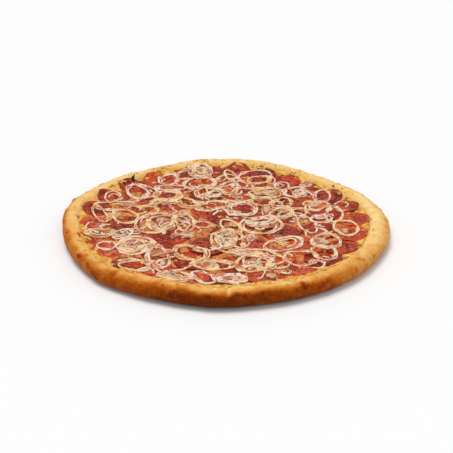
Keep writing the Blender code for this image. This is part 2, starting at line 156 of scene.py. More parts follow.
# The main onion rings, as the solids have them, in millimetres: middle x, middle y, half length,
# half width, turn in degrees, width of the band, and how many rings lie inside one another
ONION_RINGS = (
    # middle
    (17, 21, 18, 16, 30, 5.6, 1), (-16, 33, 17, 12, 15, 5.0, 1), (5, -22, 20, 8, 115, 2.6, 1),
    (37, -20, 22, 19, 10, 2.8, 3), (-44, 40, 18, 10, 130, 2.6, 1), (-40, -14, 20, 10, 100, 2.8, 1),
    # back left
    (-130, 54, 14, 9, 95, 2.4, 1), (-130, 30, 22, 11, 8, 3.2, 1), (-104, 72, 20, 11, 110, 3.6, 1),
    (-138, 8, 22, 6, 115, 2.2, 1), (-70, 113, 14, 11, 80, 3.0, 1), (-67, 59, 18, 14, 90, 4.2, 1),
    (-64, 90, 18, 8, -5, 2.8, 1), (-32, 135, 17, 14, 90, 3.6, 2), (-27, 99, 21, 17, 60, 2.4, 1),
    (-18, 65, 16, 13, 50, 3.2, 2), (-98, 40, 15, 10, 60, 2.8, 1), (-110, 4, 18, 13, 110, 2.6, 1),
    # front left
    (-66, -15, 24, 21, 90, 3.6, 2), (-112, -34, 13, 8, 60, 2.6, 1), (-131, -42, 15, 9, 15, 3.6, 1),
    (-92, -66, 20, 18, 60, 3.4, 2), (-128, -70, 10, 9, 20, 2.6, 1), (-89, -113, 16, 11, 30, 2.6, 1),
    (-66, -92, 23, 10, 105, 3.0, 1), (-50, -108, 20, 15, 20, 2.6, 1), (-35, -84, 17, 14, 140, 2.6, 1),
    (-47, -137, 17, 9, -8, 3.8, 1), (-20, -134, 15, 9, 120, 3.0, 1), (-16, -108, 21, 9, 0, 2.8, 1),
    # front right
    (2, -56, 25, 17, 95, 3.2, 2), (6, -139, 14, 9, 0, 4.2, 1), (27, -104, 18, 16, 30, 4.4, 1),
    (28, -84, 22, 8, -8, 2.6, 1), (59, -63, 21, 13, 30, 3.0, 1), (103, -58, 18, 14, 70, 3.6, 1),
    (74, -95, 17, 16, 60, 3.0, 1), (98, -84, 17, 12, 110, 2.4, 1), (50, -99, 10, 8, 70, 2.6, 1),
    (130, -31, 18, 13, 95, 2.6, 1), (88, -22, 19, 9, 100, 2.4, 1), (104, -4, 13, 9, 30, 3.2, 1),
    # back right
    (36, 117, 21, 19, 20, 2.6, 1), (40, 108, 14, 10, 5, 2.4, 1), (9, 122, 18, 7, 110, 2.2, 1),
    (12, 90, 17, 10, 80, 2.6, 1), (47, 72, 20, 13, 5, 3.2, 2), (45, 48, 15, 10, 10, 2.8, 1),
    (68, 92, 13, 8, 80, 2.6, 1), (86, 68, 15, 11, 60, 3.8, 1), (112, 66, 16, 9, 80, 2.4, 1),
    (70, 36, 17, 10, 70, 2.6, 1), (60, 10, 13, 10, 20, 2.4, 1), (85, 13, 13, 8, 85, 2.6, 1),
    (106, 34, 15, 9, 30, 2.4, 1), (119, 6, 18, 9, 75, 3.2, 1),
)

# Onion hearts and folded pieces without an open middle, in millimetres: middle x, middle y, half length,
# half width, turn in degrees
ONION_HEARTS = (
    (5, -140, 12, 9, 5), (-47, -137, 15, 9, -8), (-131, -42, 13, 8, 15), (-32, 134, 12, 10, 90),
    (86, 68, 12, 9, 60), (-66, -16, 17, 14, 80), (-92, -66, 15, 13, 60), (0, -55, 18, 10, 95),
    (27, -104, 11, 9, 30), (-60, 45, 9, 7, 20), (-20, 62, 8, 7, 0), (40, -22, 9, 7, 40),
    (-108, -42, 9, 6, 30), (56, -120, 8, 5, 110), (104, 4, 8, 6, 20), (48, 70, 12, 6, 5),
    (-45, -5, 10, 6, 60), (18, -84, 12, 6, 0),
)

HEART_MESH = (48, 15)  # (steps round, steps out) of a heart
FILM_MESH = (28, 8)
HEART_LAYER = 4.4 * MM
HEART_RIPPLE = 2.6 * MM
PEELED_SHARE = 0.5  # of the main rings have a layer come off
LOOSE_STRANDS = 36
SHREDS = 56
SMALL_FILMS = 60

# Strands that stand out, each with its width and its corners in millimetres
STRANDS = (
    (1.7, ((-146, -16), (-148, -27), (-146, -38))),
    (2.4, ((-73, -70), (-79, -90), (-72, -110), (-67, -130))),
    (2.8, ((-105, -104), (-93, -97), (-79, -103), (-74, -117), (-84, -127))),
    (2.2, ((-14, 110), (-3, 122), (8, 124), (17, 115))),
    (2.8, ((-112, 93), (-97, 89), (-85, 81), (-80, 69), (-90, 58))),
    (2.0, ((-106, -33), (-99, -27), (-89, -31), (-92, -39), (-103, -39))),
    (2.2, ((-36, -16), (-27, -9), (-16, -14), (-20, -24), (-32, -23))),
    (2.0, ((86, 36), (93, 45), (104, 41), (101, 32), (90, 31))),
    (2.4, ((122, 34), (130, 40), (138, 33), (133, 23))),
    (2.4, ((80, -106), (86, -100), (95, -107), (91, -119), (82, -116))),
)
CHEESE_BITS = 110
EDGE_BITS = 110
CREST_STAIN = 0.1
# Golden bits on the crest: (direction in degrees, spread in degrees, how many)
CREST_BITS = ((282, 13, 60), (268, 4, 22), (208, 6, 18), (228, 14, 16), (305, 16, 30))
HERB_FLAKES = 1250
# Shares of the flakes, added up: towards the middle, on the onion hearts, anywhere
HERBS_MIDDLE, HERBS_HEARTS, HERBS_ANYWHERE = 0.4, 0.66, 0.88

SLIVER_AT = (-107.5 * MM, 92 * MM)
CRUMB_AT = (-77 * MM, 91 * MM)

# The view
CAMERA_AT = (2.0 * MM, -766.6 * MM, 367.4 * MM)
CAMERA_AIM = (2.0 * MM, -14.8 * MM, 8 * MM)
LENS = 61.7  # millimetres on a 36 mm sensor


def srgb(red, green, blue):
    """The linear colour of an sRGB one that is given from 0 to 255."""
    linear = []
    for value in (red, green, blue):
        value /= 255
        linear.append(value / 12.92 if value <= 0.04045 else ((value + 0.055) / 1.055) ** 2.4)
    return (*linear, 1)


# Shape of the pizza by direction


def degrees_off(degrees, direction):
    """How far this is from a direction, the short way round."""
    return (degrees - direction + 180) % 360 - 180


def bump_table(bumps, count=TURNS):
    degrees = np.arange(count) * 360 / count
    total = np.zeros(count)
    for direction, spread, height in bumps:
        total += height * np.exp(-((degrees_off(degrees, direction) / spread) ** 2))
    return total


def uneven(point, size, seed):
    """A smooth random value from about -1 to 1 that varies over this distance."""
    return noise.noise(Vector(point) / size + Vector((seed, 2 * seed, 3 * seed)))


def ragged(point, size, octaves=3, falloff=0.8):
    """A random value whose largest features have this size, with finer ones in them."""
    return noise.fractal(Vector(point) / size, falloff, 2.0, octaves)


def turns_round(count):
    """Evenly spaced directions all round."""
    return np.arange(count) * math.tau / count


def at_angle(angle, length):
    return Vector((length * math.cos(angle), length * math.sin(angle)))


ANGLE = turns_round(TURNS)
OUTLINE = PIZZA_RADIUS + bump_table(OUTLINE_BUMPS)
CREST_AT = CREST_INSET + bump_table(WIDTH_BUMPS)
CREST_RADIUS = OUTLINE - CREST_AT
CREST = np.array([
    RIM_HEIGHT + HEIGHT_UNEVEN * uneven(at_angle(a, PIZZA_RADIUS).to_3d(), HEIGHT_WAVE, 4) for a in ANGLE
])


def middle_of(values):
    return (values.min() + values.max()) / 2


MIDDLE_X = middle_of((OUTLINE * np.cos(ANGLE))[::2])
MIDDLE_Y = middle_of((OUTLINE * np.sin(ANGLE))[::2])


def on_plan(x, y):
    """The place that the tables give in millimetres, once the outline is centred."""
    return Vector((x * MM - MIDDLE_X, y * MM - MIDDLE_Y))


def by_angle(table, angle):
    """The table's value in these directions."""
    place = (np.asarray(angle) % (math.tau)) / (math.tau) * len(table)
    low = np.floor(place).astype(int) % len(table)
    share = place - np.floor(place)
    return table[low] * (1 - share) + table[(low + 1) % len(table)] * share


def smoothstep(low, high, value):
    share = np.clip((value - low) / (high - low), 0, 1)
    return share * share * (3 - 2 * share)


# Meshes


def add_object(name, data):
    obj = bpy.data.objects.new(name, data)
    bpy.context.scene.collection.objects.link(obj)
    return obj


def make_piece(name, points, faces, finish, attributes=None, replaced=()):
    """A smooth mesh piece of the pizza, with its numbers for the material."""
    data = bpy.data.meshes.new(name)
    data.from_pydata([tuple(p) for p in points], [], faces)
    for key, values in (attributes or {}).items():
        data.attributes.new(key, "FLOAT", "POINT").data.foreach_set("value", np.asarray(values, np.float32))
    data.materials.append(finish)
    data.shade_smooth()
    obj = add_object(name, data)
    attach(obj, "root")
    if replaced:
        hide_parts(*replaced)


def grid_faces(rows, columns, first=0, closed_rows=False):
    """Faces between rings of points, each ring closed on itself."""
    faces = []
    for row in range(rows if closed_rows else rows - 1):
        this, other = first + row * columns, first + (row + 1) % rows * columns
        for i in range(columns):
            after = (i + 1) % columns
            faces.append((this + i, this + after, other + after, other + i))
    return faces


def body_faces(rows, columns, first=0, turned=False):
    """Faces of a body of rings with both its ends closed, the other way out where it is turned."""
    last = first + (rows - 1) * columns
    faces = grid_faces(rows, columns, first)
    faces.append(tuple(range(first, first + columns))[::-1])
    faces.append(tuple(range(last, last + columns)))
    return [face[::-1] for face in faces] if turned else faces


# The crust


def rim_section(turn):
    """(inset, height, degree of the section) of the crust from its foot, over the rim and down inside."""
    crest, width = CREST[turn], CREST_AT[turn]
    section = [(FOOT_INSET, 0.0, -80)]
    for degrees in range(OUTER_FIRST, OUTER_LAST + 1, OUTER_STEP):
        along = math.radians(degrees)
        inset = width * (1 - max(0.0, math.cos(along)) ** RIM_SQUARENESS)
        section.append((inset, crest / 2 * (1 + math.sin(along)), degrees))
    drop = crest - BASE_THICKNESS
    for step in range(1, INNER_STEPS + 1):
        along = math.pi / 2 * step / INNER_STEPS
        inset = width + INNER_SLOPE * math.sin(along)
        section.append((inset, BASE_THICKNESS + drop * math.cos(along), 90 + 90 * step / INNER_STEPS))
    return section


def blister_places():
    draw = random.Random(5)
    places = []
    for _ in range(BLISTERS):
        angle = draw.uniform(0, math.tau)
        degrees = draw.uniform(15, 125)
        radius = draw.uniform(1.0, 3.2) * MM
        places.append((angle, degrees, radius, radius * draw.uniform(0.12, 0.3)))
    return places


def crease_depth(turn, degrees):
    """Depth of the creases here, and how much of one this is."""
    depth, share = 0.0, 0.0
    here = turn * 360 / TURNS
    for direction, width, deep, first, last in CREASES:
        along = smoothstep(first - 12, first + 8, degrees) * (1 - smoothstep(last - 8, last + 12, degrees))
        here_share = math.exp(-((degrees_off(here, direction) / width) ** 2)) * along
        depth += deep * here_share
        share = max(share, here_share)
    return depth, share


def crust_column(turn):
    """The crust's surface in one direction, and how much of a crease each of its places is."""
    out = at_angle(ANGLE[turn], 1).to_3d()
    column, creased = [], []
    for inset, height, degrees in rim_section(turn):
        radius = OUTLINE[turn] - inset
        point = Vector((radius * out.x - MIDDLE_X, radius * out.y - MIDDLE_Y, height))
        shape = float(smoothstep(*LUMPS_START, degrees) * (1 - smoothstep(*LUMPS_END, degrees)))
        point += (out + Vector((0, 0, 0.6))) * RIM_UNEVEN * uneven(point, RIM_BUMP_SIZE, 9) * shape
        normal = out * (CREST_AT[turn] - inset) + Vector((0, 0, height - CREST[turn] / 2))
        normal.normalize()
        lump = CRUST_LUMPS * uneven(point, CRUST_LUMP_SIZE, 2) * shape
        grain = CRUST_GRAIN * ragged(point, CRUST_GRAIN_SIZE) * shape
        depth, crease = crease_depth(turn, degrees)
        column.append(point + normal * (lump + grain - depth))
        creased.append(crease)
    return column, creased


def bake_and_shade_value(point, degrees, crease, on_crest, on_side):
    """How dark the crust is here: its baking, with painted shade down the outer side and more of it towards
    the foot, ragged where the crest's colour goes over into the side's.
    """
    down = float(smoothstep(*SIDE_BAKED_AND_SHADED, degrees + 9 * ragged(point, 11 * MM, 3, 0.9)))
    value = on_crest * (1 - down) + on_side * down
    # baking and painted shade: darker still towards the foot
    value += 0.08 * down * float(smoothstep(*FOOT_BAKED_AND_SHADED, degrees))
    value -= 0.12 * float(smoothstep(*INSIDE_PALE, degrees))
    return value + 0.1 * ragged(point, 16 * MM, 3, 0.9) - 0.3 * crease


def make_crust(finish):
    section = [degrees for _, _, degrees in rim_section(0)]
    crest_bake = CREST_BAKE + bump_table(CREST_BAKE_BUMPS)
    # the outer side's baking together with its painted shade
    side_bake_and_shade = SIDE_BAKE_AND_SHADE + bump_table(SIDE_BAKE_AND_SHADE_BUMPS)
    columns, bakes_and_shades = [], []
    for turn in range(TURNS):
        column, creased = crust_column(turn)
        bake_and_shade = (crest_bake[turn], side_bake_and_shade[turn])
        columns.append(column)
        bakes_and_shades.append([bake_and_shade_value(*place, *bake_and_shade) for place in zip(column, section, creased)])
    rows = [list(row) for row in zip(*columns)]
    values = [list(row) for row in zip(*bakes_and_shades)]
    raise_blisters(rows, values)
    add_flats(rows, values)
    points = [point for row in rows for point in row]
    bake_and_shade = [value for row in values for value in row]
    stains = [0.0] * FLAT_RINGS + [float(smoothstep(*INSIDE_GREASY, degrees)) for degrees in section]
    inner = [stain for stain in stains for _ in range(TURNS)]
    numbers = {"bake_and_shade": bake_and_shade, "inner": inner}
    make_piece("crust_baked", points, body_faces(len(rows), TURNS), finish, numbers, ["crust"])


def raise_blisters(rows, values):
    """Raises small blisters on the rim, a little darker than the dough round them."""
    grid = np.array([[tuple(p) for p in row] for row in rows])
    shade = np.array(values)
    degrees = np.array([section[2] for section in rim_section(0)])
    for angle, section, radius, height in blister_places():
        turn = int(angle / (math.tau) * TURNS) % TURNS
        row = int(np.abs(degrees - section).argmin())
        centre = grid[row, turn]
        near = np.arange(turn - 8, turn + 9) % TURNS
        away = np.linalg.norm(grid[:, near] - centre, axis=2) / radius
        dome = height * np.exp(-(away**2) * 1.4)
        for offset, column in enumerate(near):
            a = ANGLE[column]
            lean = math.cos(math.radians(section))
            way = np.array([math.cos(a) * lean, math.sin(a) * lean, 0.9])
            grid[:, column] += dome[:, offset, None] * way
            shade[:, column] += 0.16 * np.exp(-(away[:, offset] ** 2))
    for row, new, value, new_value in zip(rows, grid, values, shade):
        row[:] = [Vector(p) for p in new]
        value[:] = list(new_value)


def add_flats(rows, values):
    """Rings over the underside, so that its baking shows, from the middle out to the foot."""
    foot = rows[0]
    values[0] = [value - 0.05 for value in values[0]]
    for number in range(1, FLAT_RINGS + 1):
        share = 1 - number / (FLAT_RINGS + 0.5)
        ring = [Vector((p.x * share, p.y * share, 0)) for p in foot]
        rows.insert(0, ring)
        values.insert(0, [0.62 + 0.2 * ragged(p, 18 * MM, 4, 0.9) for p in ring])


# Laying things on one another


class Relief:
    """The height of the pizza so far, on a square grid over the plan."""

    CELL = 0.5 * MM

    def __init__(self):
        self.cells = int(2 * (PIZZA_RADIUS + 10 * MM) / self.CELL)
        self.low = -self.CELL * self.cells / 2
        line = self.low + (np.arange(self.cells) + 0.5) * self.CELL
        self.x, self.y = np.meshgrid(line, line, indexing="ij")
        self.height = np.zeros_like(self.x)
        self.meat = np.zeros_like(self.x)  # how much sausage shows, from 0 to 1

    def window(self, x, y, reach):
        """The part of the grid within reach of a place."""
        first_i, first_j = (max(0, int((v - reach - self.low) / self.CELL)) for v in (x, y))
        last_i, last_j = (min(self.cells, int((v + reach - self.low) / self.CELL) + 2) for v in (x, y))
        return slice(first_i, last_i), slice(first_j, last_j)

    def index(self, x, y):
        i = np.clip(((x - self.low) / self.CELL).astype(int), 0, self.cells - 1)
        j = np.clip(((y - self.low) / self.CELL).astype(int), 0, self.cells - 1)
        return i, j

    def at(self, x, y):
        return self.height[self.index(x, y)]

    def stamp(self, x, y, height, meat=0.35):
        """Raises the grid to these heights at these places, with this share of the meat showing through."""
        places = self.index(x, y)
        np.maximum.at(self.height, places, height)
        self.meat[places] = np.minimum(self.meat[places], meat)

    def polar(self):
        """(direction, distance) of every cell from the outline's own middle."""
        x, y = self.x + MIDDLE_X, self.y + MIDDLE_Y
        return np.arctan2(y, x), np.hypot(x, y)


WHOLE = (slice(None), slice(None))


def sample(relief, field, x, y, area=WHOLE):
    """The values at these places of a field over this part of the relief's grid."""
    across = np.clip((x - relief.x[area][0, 0]) / relief.CELL, 0, field.shape[0] - 1.001)
    along = np.clip((y - relief.y[area][0, 0]) / relief.CELL, 0, field.shape[1] - 1.001)
    i, j = across.astype(int), along.astype(int)
    u, v = across - i, along - j
    near = field[i, j] * (1 - u) + field[i + 1, j] * u
    far = field[i, j + 1] * (1 - u) + field[i + 1, j + 1] * u
    return near * (1 - v) + far * v


def shifted(field, offset, axis, fill):
    """The field moved by some cells, with the fill value coming in."""
    moved = np.full_like(field, fill)
    size = field.shape[axis]
    source, target = [slice(None)] * field.ndim, [slice(None)] * field.ndim
    source[axis] = slice(max(0, -offset), size - max(0, offset))
    target[axis] = slice(max(0, offset), size - max(0, -offset))
    moved[tuple(target)] = field[tuple(source)]
    return moved


def spread(field, cells, fill):
    """Each cell takes the greatest value near it."""
    for axis in range(field.ndim):
        moved = [shifted(field, offset, axis, fill) for offset in range(-cells, cells + 1)]
        field = np.max(moved, axis=0)
    return field


def soften(field, cells, passes=2):
    """Each cell takes the mean of those near it."""
    for _ in range(passes):
        for axis in range(field.ndim):
            moved = [shifted(field, offset, axis, 0) for offset in range(-cells, cells + 1)]
            field = np.mean(moved, axis=0)
    return field


def drape(under, inside, stiffness):
    """The underside of something limp that lies on these heights: above them all, and smooth."""
    reach = max(2, int(stiffness / Relief.CELL))
    low = under[inside].min() - 1
    raised = spread(np.where(inside, under, low), reach, low)
    known = raised > low + 0.5
    half = max(1, reach // 2)
    weight = soften(known.astype(float), half)
    value = soften(np.where(known, raised, 0.0), half)
    return np.where(weight > 0.05, value / np.maximum(weight, 0.05), under[inside].max())


def cheese_height(relief):
    """The bed of cheese, rising to its lip on the rim, over the whole grid."""
    angle, radius = relief.polar()
    edge = by_angle(CREST_RADIUS, angle) - 0.8 * INNER_SLOPE
    share = np.clip(1 - radius / edge, 0, 1)
    return CHEESE_TOP + (CHEESE_EDGE_TOP - CHEESE_TOP) * np.exp(-share / 0.075)


def crust_height(relief):
    """The rim's crest and inner slope over the whole grid."""
    angle, radius = relief.polar()
    past = by_angle(OUTLINE, angle) - radius - by_angle(CREST_AT, angle)
    share = np.clip(past / INNER_SLOPE, 0, 1)
    crest = by_angle(CREST, angle)
    height = BASE_THICKNESS + (crest - BASE_THICKNESS) * np.sqrt(1 - share**2)
    return np.where(past > -CREST_INSET, height, 0)


# The sausage slices


def lobed_oval(half_length, half_width, turn, lobes):
    """The radius by direction of an oval with lobes: (how many all round, phase, share of the radius)."""

    def edge(angle):
        wobble = 1 + sum(share * np.cos(order * angle + phase) for order, phase, share in lobes)
        along, across = np.cos(angle - turn), np.sin(angle - turn)
        return wobble * half_length * half_width / np.hypot(half_width * along, half_length * across)

    return edge


def make_slice(number, relief, finish, draw):
    """A thin round slice, limp with heat, that lies on whatever is under it."""
    name = f"sausage_{number:02d}"
    low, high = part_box(name)
    x, y = (low.x + high.x) / 2, (low.y + high.y) / 2
    half_x, half_y = SLICE_SPREAD * (high.x - low.x) / 2, SLICE_SPREAD * (high.y - low.y) / 2
    area = relief.window(x, y, max(half_x, half_y) + 6 * MM)
    lobes = [(order, draw.uniform(0, math.tau), 0.016 * draw.uniform(0.3, 1)) for order in (2, 3, 5, 7, 11)]
    edge = lobed_oval(half_x, half_y, 0, lobes)
    rest = lay_slice(relief, x, y, edge, area, draw)
    turns = turns_round(SLICE_TURNS)
    profile = slice_profile()
    points, shares = [], []
    for reach, up in profile:
        px, py = x + reach * edge(turns) * np.cos(turns), y + reach * edge(turns) * np.sin(turns)
        on_top = up > 0.4  # the side and the underside take the rim's colour
        for a, b, c in zip(px, py, sample(relief, rest, px, py, area)):
            bump = SLICE_BUMPS * ragged((a, b, number), SLICE_BUMP_SIZE) if on_top else 0
            points.append((a, b, c + SLICE_THICKNESS * up + bump))
            shares.append(reach if on_top else 1.1)
    tone = draw.uniform(0, 1) * (1 - 0.45 * float(smoothstep(30 * MM, 110 * MM, y + 0.4 * x)))
    faces = body_faces(len(profile), SLICE_TURNS, turned=True)
    numbers = {"share": shares, "tone": [tone] * len(points)}
    make_piece(f"slice_{number:02d}", points, faces, finish, numbers, [name])


def lay_slice(relief, x, y, edge, area, draw):
    """Lays a slice on whatever is under it, its rim hugging that or curled up. Returns its underside."""
    under = relief.height[area]
    dx, dy = relief.x[area] - x, relief.y[area] - y
    way = np.arctan2(dy, dx)
    share = np.hypot(dx, dy) / edge(way)
    inside = share <= 1
    rest = drape(under, inside, SLICE_STIFFNESS) + SLICE_GAP
    hug = draw.uniform(0.35, 1) * smoothstep(0.6, 1.0, share)
    close = soften(spread(under, 1, 0), 2) + SLICE_GAP
    rest = rest * (1 - hug) + np.minimum(rest, close) * hug
    cup = draw.choice((0, 0, 0, 0.2, 0.5)) * MM
    curl_way, curl = draw.uniform(0, math.tau), draw.choice((0, 0.2, 0.6, 1.2, 2)) * MM
    lift = cup * share**4 + curl * np.clip(np.cos(way - curl_way), 0, 1) ** 2 * share**3
    rest = rest + np.where(share < 1.2, lift, 0)
    top = rest + SLICE_THICKNESS * slice_taper(share)
    relief.height[area] = np.where(inside, np.maximum(under, top), under)
    relief.meat[area] = np.where(inside, 1, relief.meat[area])
    return rest


def slice_taper(share):
    """The slice's thickness at this share of its radius, as a share of that in its middle."""
    return 1 - (1 - SLICE_EDGE) * smoothstep(0.7, 1.0, share)


def slice_profile():
    """(share of radius, share of thickness) from the middle of the top over the side to the underside."""
    shares = [max(INNERMOST, math.sqrt(step / SLICE_ROWS)) for step in range(SLICE_ROWS)]
    profile = [(share, float(slice_taper(share))) for share in shares]
    side = ((0.985, 0.98), (0.997, 0.88), (1.0, 0.6), (1.0, 0.3), (0.985, 0.1), (0.96, 0.0))
    profile += [(share, SLICE_EDGE * up) for share, up in side]
    return profile + [(0.5, 0.0), (INNERMOST, 0.0)]


# The cheese


def swollen_cheese(relief, base):
    """The cheese's height once it has welled up between the slices."""
    covered = (relief.height > base + 0.5 * MM).astype(float)
    gaps = 1 - soften(covered, 2, 1)
    return base + CHEESE_SWELL * smoothstep(0.35, 1.0, gaps)


def make_cheese(relief, height, finish):
    """A bed of melted cheese whose lip climbs the rim unevenly."""
    angles = turns_round(CHEESE_TURNS)
    slope_foot = by_angle(CREST_RADIUS, angles) - INNER_SLOPE
    crest = by_angle(CREST, angles)
    ring = [at_angle(a, PIZZA_RADIUS).to_3d() for a in angles]
    climb = CHEESE_EDGE_TOP + bump_table(LIP_BUMPS, CHEESE_TURNS) + np.array([
        2.2 * MM * uneven(p, 7 * MM, 5) + 1.6 * MM * uneven(p, 19 * MM, 6) for p in ring
    ])
    share = np.clip((climb - BASE_THICKNESS) / (crest - BASE_THICKNESS), 0, 0.97)
    lip = slope_foot + INNER_SLOPE * (1 - np.sqrt(1 - share**2))
    foot = np.full(CHEESE_TURNS, BASE_THICKNESS + 0.4 * MM)
    rows = [(slope_foot - 1.5 * MM, foot), (lip - 0.5 * MM, climb - 0.9 * MM), (lip, climb)]
    for step in range(1, CHEESE_ROWS):
        radius = (lip - 0.4 * MM) * (1 - step / CHEESE_ROWS) ** 0.9
        x, y = radius * np.cos(angles) - MIDDLE_X, radius * np.sin(angles) - MIDDLE_Y
        rows.append((radius, sample(relief, height, x, y)))
    points, stain = [], []
    for number, (radius, level) in enumerate(rows):
        for a, r, z in zip(angles, radius, level):
            point = Vector((r * math.cos(a) - MIDDLE_X, r * math.sin(a) - MIDDLE_Y, z))
            if number > 1:
                point.z += CHEESE_BUMPS * ragged(point, CHEESE_BUMP_SIZE)
            points.append(point)
        oily = 0.75 * smoothstep(2, 14, number) + 0.25 * smoothstep(14, 50, number)
        stain += [float(oily)] * CHEESE_TURNS
    faces = body_faces(len(rows), CHEESE_TURNS)
    make_piece("cheese_melted", points, faces, finish, {"stain": stain}, ["cheese"])


def cheese_bit_spots(draw):
    """(place, most stain) of bits on the toppings, more along their edge and golden ones on the crest."""
    for _ in range(CHEESE_BITS):
        yield spot_in_toppings(draw, 140 * MM), 0.9
    rim = [(draw.uniform(0, 360), draw.uniform(5, 13) * MM, 0.7) for _ in range(EDGE_BITS)]
    for direction, spread_by, count in CREST_BITS:
        for _ in range(count):
            rim.append((draw.gauss(direction, spread_by), draw.uniform(1.5, 6) * MM, CREST_STAIN))
    for degrees, inside, stain in rim:
        angle = math.radians(degrees)
        away = float(by_angle(CREST_RADIUS, angle)) - inside
        yield at_angle(angle, away) - Vector((MIDDLE_X, MIDDLE_Y)), stain


def make_cheese_bits(relief, finish):
    """Small melted patches of cheese that lie on and between the slices and along the rim."""
    draw = random.Random(8)
    points, faces, stain = [], [], []
    turns = turns_round(14)
    profile = ((0.1, 1.0), (0.45, 0.9), (0.75, 0.62), (0.93, 0.3), (1.0, -0.25))
    for spot, most_stain in cheese_bit_spots(draw):
        size, tall = draw.uniform(1.2, 4.2) * MM, draw.uniform(0.3, 0.8) * MM
        if most_stain == CREST_STAIN:
            size, tall = 1.3 * size, 2.2 * tall
        stretch, turn = draw.uniform(0.4, 1), draw.uniform(0, math.pi)
        wobble = 1 + sum(0.14 * np.cos(order * turns + draw.uniform(0, 6)) for order in (2, 3, 5))
        first = len(points)
        for reach, up in profile:
            along = size * reach * wobble * np.cos(turns)
            across = size * stretch * reach * wobble * np.sin(turns)
            x = spot.x + along * math.cos(turn) - across * math.sin(turn)
            y = spot.y + along * math.sin(turn) + across * math.cos(turn)
            ground = relief.at(x, y)
            points += list(zip(x, y, ground + tall * up))
        stain += [draw.uniform(0, most_stain)] * (len(profile) * len(turns))
        faces += body_faces(len(profile), len(turns), first, turned=True)
        relief.stamp(x, y, ground + 0.1 * MM, 0.3)
    make_piece("cheese_bits", points, faces, finish, {"stain": stain})


# The onions


def ring_outlines(draw):
    """(corners along the middle of the band, its width) of every main onion ring on the plan."""
    for x, y, half_length, half_width, turn, band, nested in ONION_RINGS:
        middle = on_plan(x, y)
        long, short, width = half_length * MM, half_width * MM, band * MM
        slip = draw.uniform(0, math.tau)
        for _ in range(nested):
            yield ring_outline(middle, long, short, math.radians(turn), draw), width
            smaller = NEST_STEP * draw.uniform(0.9, 1.15)
            long, short = long - smaller, short - smaller
            # a loose inner ring slips until it touches the one round it
            middle = middle + at_angle(slip, 1) * (smaller - width / 2)


def ring_outline(middle, long, short, turn, draw):
    """An oval that waves in and out a little."""
    waves = [(order, draw.uniform(0, math.tau)) for order in (2, 3, 4)]
    around = math.tau * math.sqrt((long**2 + short**2) / 2)
    count = max(FEWEST_STEPS, round(around / ONION_STEP))
    points = []
    for step in range(count):
        angle = math.tau * step / count
        wave = 1 + sum(ONION_WAVE / order * math.cos(order * angle + phase) for order, phase in waves)
        spot = Vector((long * wave * math.cos(angle), short * wave * math.sin(angle)))
        points.append(middle + Matrix.Rotation(turn, 2) @ spot)
    return points


def ring_samples(points):
    """Places along a ring."""
    for i in range(len(points)):
        after = (i + 1) % len(points)
        steps = max(1, round((points[after] - points[i]).length / SAMPLE_STEP))
        for step in range(steps):
            yield points[i].lerp(points[after], step / steps)


def nearest(places, others):
    """(distance, way) from one set of places to the nearest of another set."""
    away = others[None, :] - places[:, None]
    apart = np.linalg.norm(away, axis=2)
    spot = np.unravel_index(apart.argmin(), apart.shape)
    return apart[spot], away[spot]


def draw_together(rings):
    """Slides rings that lie alone towards the others, until all of them touch and make one net."""
    loose = [(ring, np.array([tuple(place) for place in ring_samples(ring[0])])) for ring in rings]
    first, net = loose.pop(0)
    joined = [first]
    while loose:
        gaps = [nearest(places, net) for _, places in loose]
        closest = min(range(len(loose)), key=lambda i: gaps[i][0])
        (ring, places), (gap, way) = loose.pop(closest), gaps[closest]
        slide = Vector(way) * max(0, 1 - RING_TOUCH / max(gap, RING_TOUCH))
        for point in ring[0]:
            point += slide
        joined.append(ring)
        net = np.concatenate([net, places + np.array(slide)])
    return joined


def smooth_path(corners, closed):
    """Evenly spaced places along a smooth curve through the corners."""
    corners = np.array([tuple(corner) for corner in corners])
    count = len(corners)
    if not closed:
        before, after = 2 * corners[:1] - corners[1:2], 2 * corners[-1:] - corners[-2:-1]
        corners = np.concatenate([before, corners, after])
    path = []
    for i in range(count if closed else count - 1):
        if closed:
            a, b, c, d = (corners[(i + k) % count] for k in (-1, 0, 1, 2))
        else:
            a, b, c, d = corners[i : i + 4]
        steps = max(2, round(np.linalg.norm(c - b) / PATH_STEP))
        squared, cubed = 2 * a - 5 * b + 4 * c - d, 3 * b - a - 3 * c + d
        for t in np.arange(steps) / steps:
            path.append(0.5 * (2 * b + (c - a) * t + squared * t**2 + cubed * t**3))
    return np.array(path)


def sides_of(path, closed):
    """The way to the right of the path at each of its places."""
    before, after = np.roll(path, 1, axis=0), np.roll(path, -1, axis=0)
    if not closed:
        before[0], after[-1] = path[0], path[-1]
    run = after - before
    run /= np.maximum(np.linalg.norm(run, axis=1), 1e-9)[:, None]
    return np.stack([run[:, 1], -run[:, 0]], axis=1)


def band_widths(width, count, closed, phase):
    """The band's width along its path: broader in places, and narrower towards open ends."""
    wave = np.array([ragged((k * WAVE_STEP, phase, 0), 1, 2) for k in range(count)])
    widths = width * (0.95 + 0.35 * wave + 0.85 * smoothstep(0.05, 0.5, wave))
    steps = np.arange(count)
    if closed:
        blend = smoothstep(0, 1, np.minimum(steps, 10) / 10)
        return widths * blend + widths[-1] * (1 - blend)
    ends = np.minimum(steps, steps[::-1]) * PATH_STEP
    return widths * np.clip(0.35 + ends / (3 * MM), 0, 1)


def beside(path, side, reach):
    """(x, y) of places at these distances to the right of the path."""
    places = path[:, None, :] + side[:, None, :] * reach[:, :, None]
    return places[:, :, 0], places[:, :, 1]


